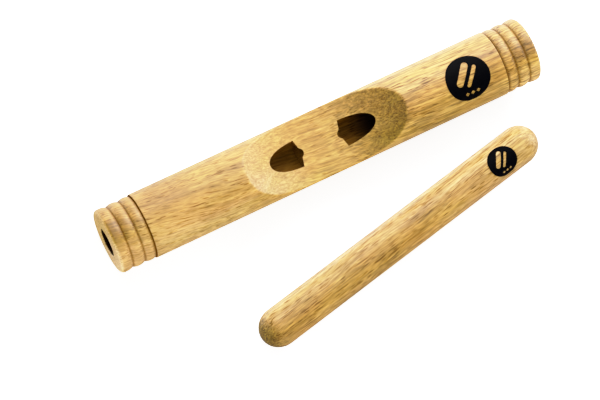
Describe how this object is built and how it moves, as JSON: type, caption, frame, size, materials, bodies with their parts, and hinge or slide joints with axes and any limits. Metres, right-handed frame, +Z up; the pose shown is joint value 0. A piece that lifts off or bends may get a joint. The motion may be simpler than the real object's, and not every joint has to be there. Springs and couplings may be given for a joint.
{
  "type": "African-style claves",
  "caption": "Hollow wooden clave with a scooped top, beaded ends and drilled chambers, with its solid dome-ended wooden striker lying beside it.",
  "frame": {"origin": "middle of the pair's footprint on the floor, with both sticks lying down", "axes": "+X along the hollow stick towards its badge end, +Z up out of its scoop, +Y from the striker towards the hollow stick"},
  "size_m": [0.3468, 0.148, 0.0502],
  "materials": {
    "body_wood": "clear satin lacquer over straight-grained pale hardwood with short dark pores",
    "striker_wood": "clear satin lacquer over straight-grained pale hardwood",
    "badge_black": "thin black printed transfer, semi-gloss"
  },
  "bodies": {
    "hollow_stick": {"clave_body": "body_wood", "body_badge": "badge_black"},
    "striker_stick": {"striker": "striker_wood", "striker_badge": "badge_black"}
  },
  "joints": [
    {"name": "strike_swing", "type": "hinge", "parent": "hollow_stick", "child": "striker_stick", "pos_m": [-0.08338, -0.0591, 0.01484], "axis": [0, 0, 1], "range_deg": [-40, 6.3]}
  ]
}
